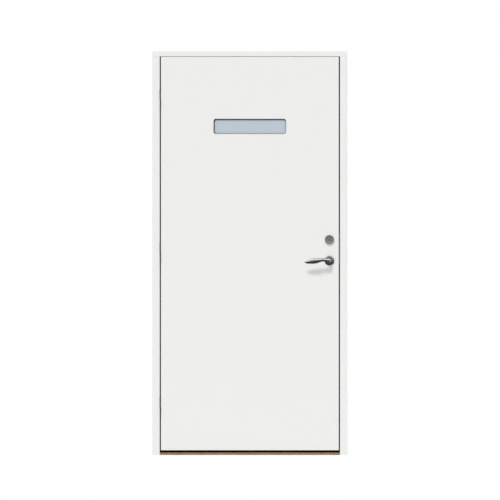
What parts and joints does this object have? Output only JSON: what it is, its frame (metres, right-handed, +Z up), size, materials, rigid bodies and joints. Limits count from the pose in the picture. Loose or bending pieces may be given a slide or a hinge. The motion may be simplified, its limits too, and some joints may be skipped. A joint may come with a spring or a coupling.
{
  "type": "flush exterior door with frame",
  "caption": "White flush exterior door in its rebated frame, with a low wide window slot, lever handle, lock cylinder, side hinges and an oak threshold.",
  "frame": {"origin": "middle of the threshold's underside, at mid depth of the frame", "axes": "+Z up, -Y outdoors towards the viewer, +X towards the lock side"},
  "size_m": [1.004, 0.1812, 2.08],
  "materials": {
    "painted_wood": "white factory paint, semi-matt",
    "oak": "oiled oak",
    "seal_rubber": "matt black seal",
    "gasket_rubber": "matt dark gasket",
    "pine": "planed softwood",
    "insulating_foam": "rigid foam",
    "window_glass": "frosted insulating glass",
    "spacer_metal": "matt spacer bar",
    "zinc_steel": "bright zinc",
    "satin_steel": "satin steel",
    "satin_chrome": "satin chrome",
    "polished_chrome": "polished chrome",
    "dark_hinge_steel": "dark powder coat"
  },
  "bodies": {
    "frame": {"hinge_jamb": "painted_wood", "lock_jamb": "painted_wood", "frame_head": "painted_wood", "side_stops": "painted_wood", "head_stop": "painted_wood", "threshold": "oak", "side_seals": "seal_rubber", "seal_head": "seal_rubber", "seal_threshold": "seal_rubber", "frame_joint_screws": "zinc_steel", "fixing_sleeves": "zinc_steel", "strike_plate": "satin_steel", "strike_screws": "zinc_steel", "lower_hinge_frame_half": "dark_hinge_steel", "middle_hinge_frame_half": "dark_hinge_steel", "upper_hinge_frame_half": "dark_hinge_steel", "hinge_pins": "zinc_steel", "hinge_frame_screws": "dark_hinge_steel"},
    "leaf": {"outer_skin": "painted_wood", "inner_skin": "painted_wood", "leaf_core": "insulating_foam", "hinge_stile": "painted_wood", "lock_stile": "painted_wood", "top_rail": "painted_wood", "bottom_rail": "painted_wood", "window_lining": "pine", "outer_pane": "window_glass", "middle_pane": "window_glass", "inner_pane": "window_glass", "glass_spacers": "spacer_metal", "outer_glazing_gasket": "gasket_rubber", "inner_glazing_gasket": "gasket_rubber", "inner_window_trim": "painted_wood", "lock_case": "zinc_steel", "lock_case_cover": "zinc_steel", "forend": "satin_steel", "forend_screws": "zinc_steel", "outer_rose_base": "zinc_steel", "outer_rose_cover": "satin_chrome", "inner_rose_base": "zinc_steel", "inner_rose_cover": "satin_chrome", "through_bolts": "zinc_steel", "lock_cylinder": "satin_chrome", "cylinder_ring": "satin_chrome", "turn_base": "zinc_steel", "turn_cover": "satin_chrome", "lower_hinge_leaf_half": "dark_hinge_steel", "middle_hinge_leaf_half": "dark_hinge_steel", "upper_hinge_leaf_half": "dark_hinge_steel", "hinge_leaf_screws": "dark_hinge_steel"},
    "lever_set": {"outer_lever": "polished_chrome", "inner_lever": "polished_chrome", "spindle": "zinc_steel", "follower": "zinc_steel"},
    "latch": {"latch_bolt": "satin_steel"},
    "deadbolt": {"deadbolt": "satin_steel"},
    "turn": {"thumb_turn": "satin_chrome", "bolt_cam": "zinc_steel"},
    "plug": {"key_plug": "satin_chrome"}
  },
  "joints": [
    {"name": "leaf_swing", "type": "hinge", "parent": "frame", "child": "leaf", "pos_m": [-0.461, -0.0535, 1.037], "axis": [0, 0, -1], "range_deg": [0, 170]},
    {"name": "lever_turn", "type": "hinge", "parent": "leaf", "child": "lever_set", "pos_m": [0.41, -0.0215, 1.001], "axis": [0, -1, 0], "range_deg": [0, 45], "stiffness_Nm_per_rad": 1, "springref_deg": -45.84},
    {"name": "latch_slide", "type": "slide", "parent": "leaf", "child": "latch", "axis": [1, 0, 0], "range_m": [0, 0.012]},
    {"name": "thumb_turn_turn", "type": "hinge", "parent": "leaf", "child": "turn", "pos_m": [0.41, -0.0215, 1.109], "axis": [0, -1, 0], "range_deg": [0, 90]},
    {"name": "deadbolt_slide", "type": "slide", "parent": "leaf", "child": "deadbolt", "axis": [1, 0, 0], "range_m": [0, 0.02]},
    {"name": "key_plug_turn", "type": "hinge", "parent": "leaf", "child": "plug", "pos_m": [0.41, -0.0415, 1.109], "axis": [0, -1, 0], "range_deg": [0, 90]}
  ],
  "couplings": [
    {"joint": "deadbolt_slide", "follows": "thumb_turn_turn", "m_per_rad": 0.01273},
    {"joint": "key_plug_turn", "follows": "thumb_turn_turn", "ratio": 1}
  ]
}
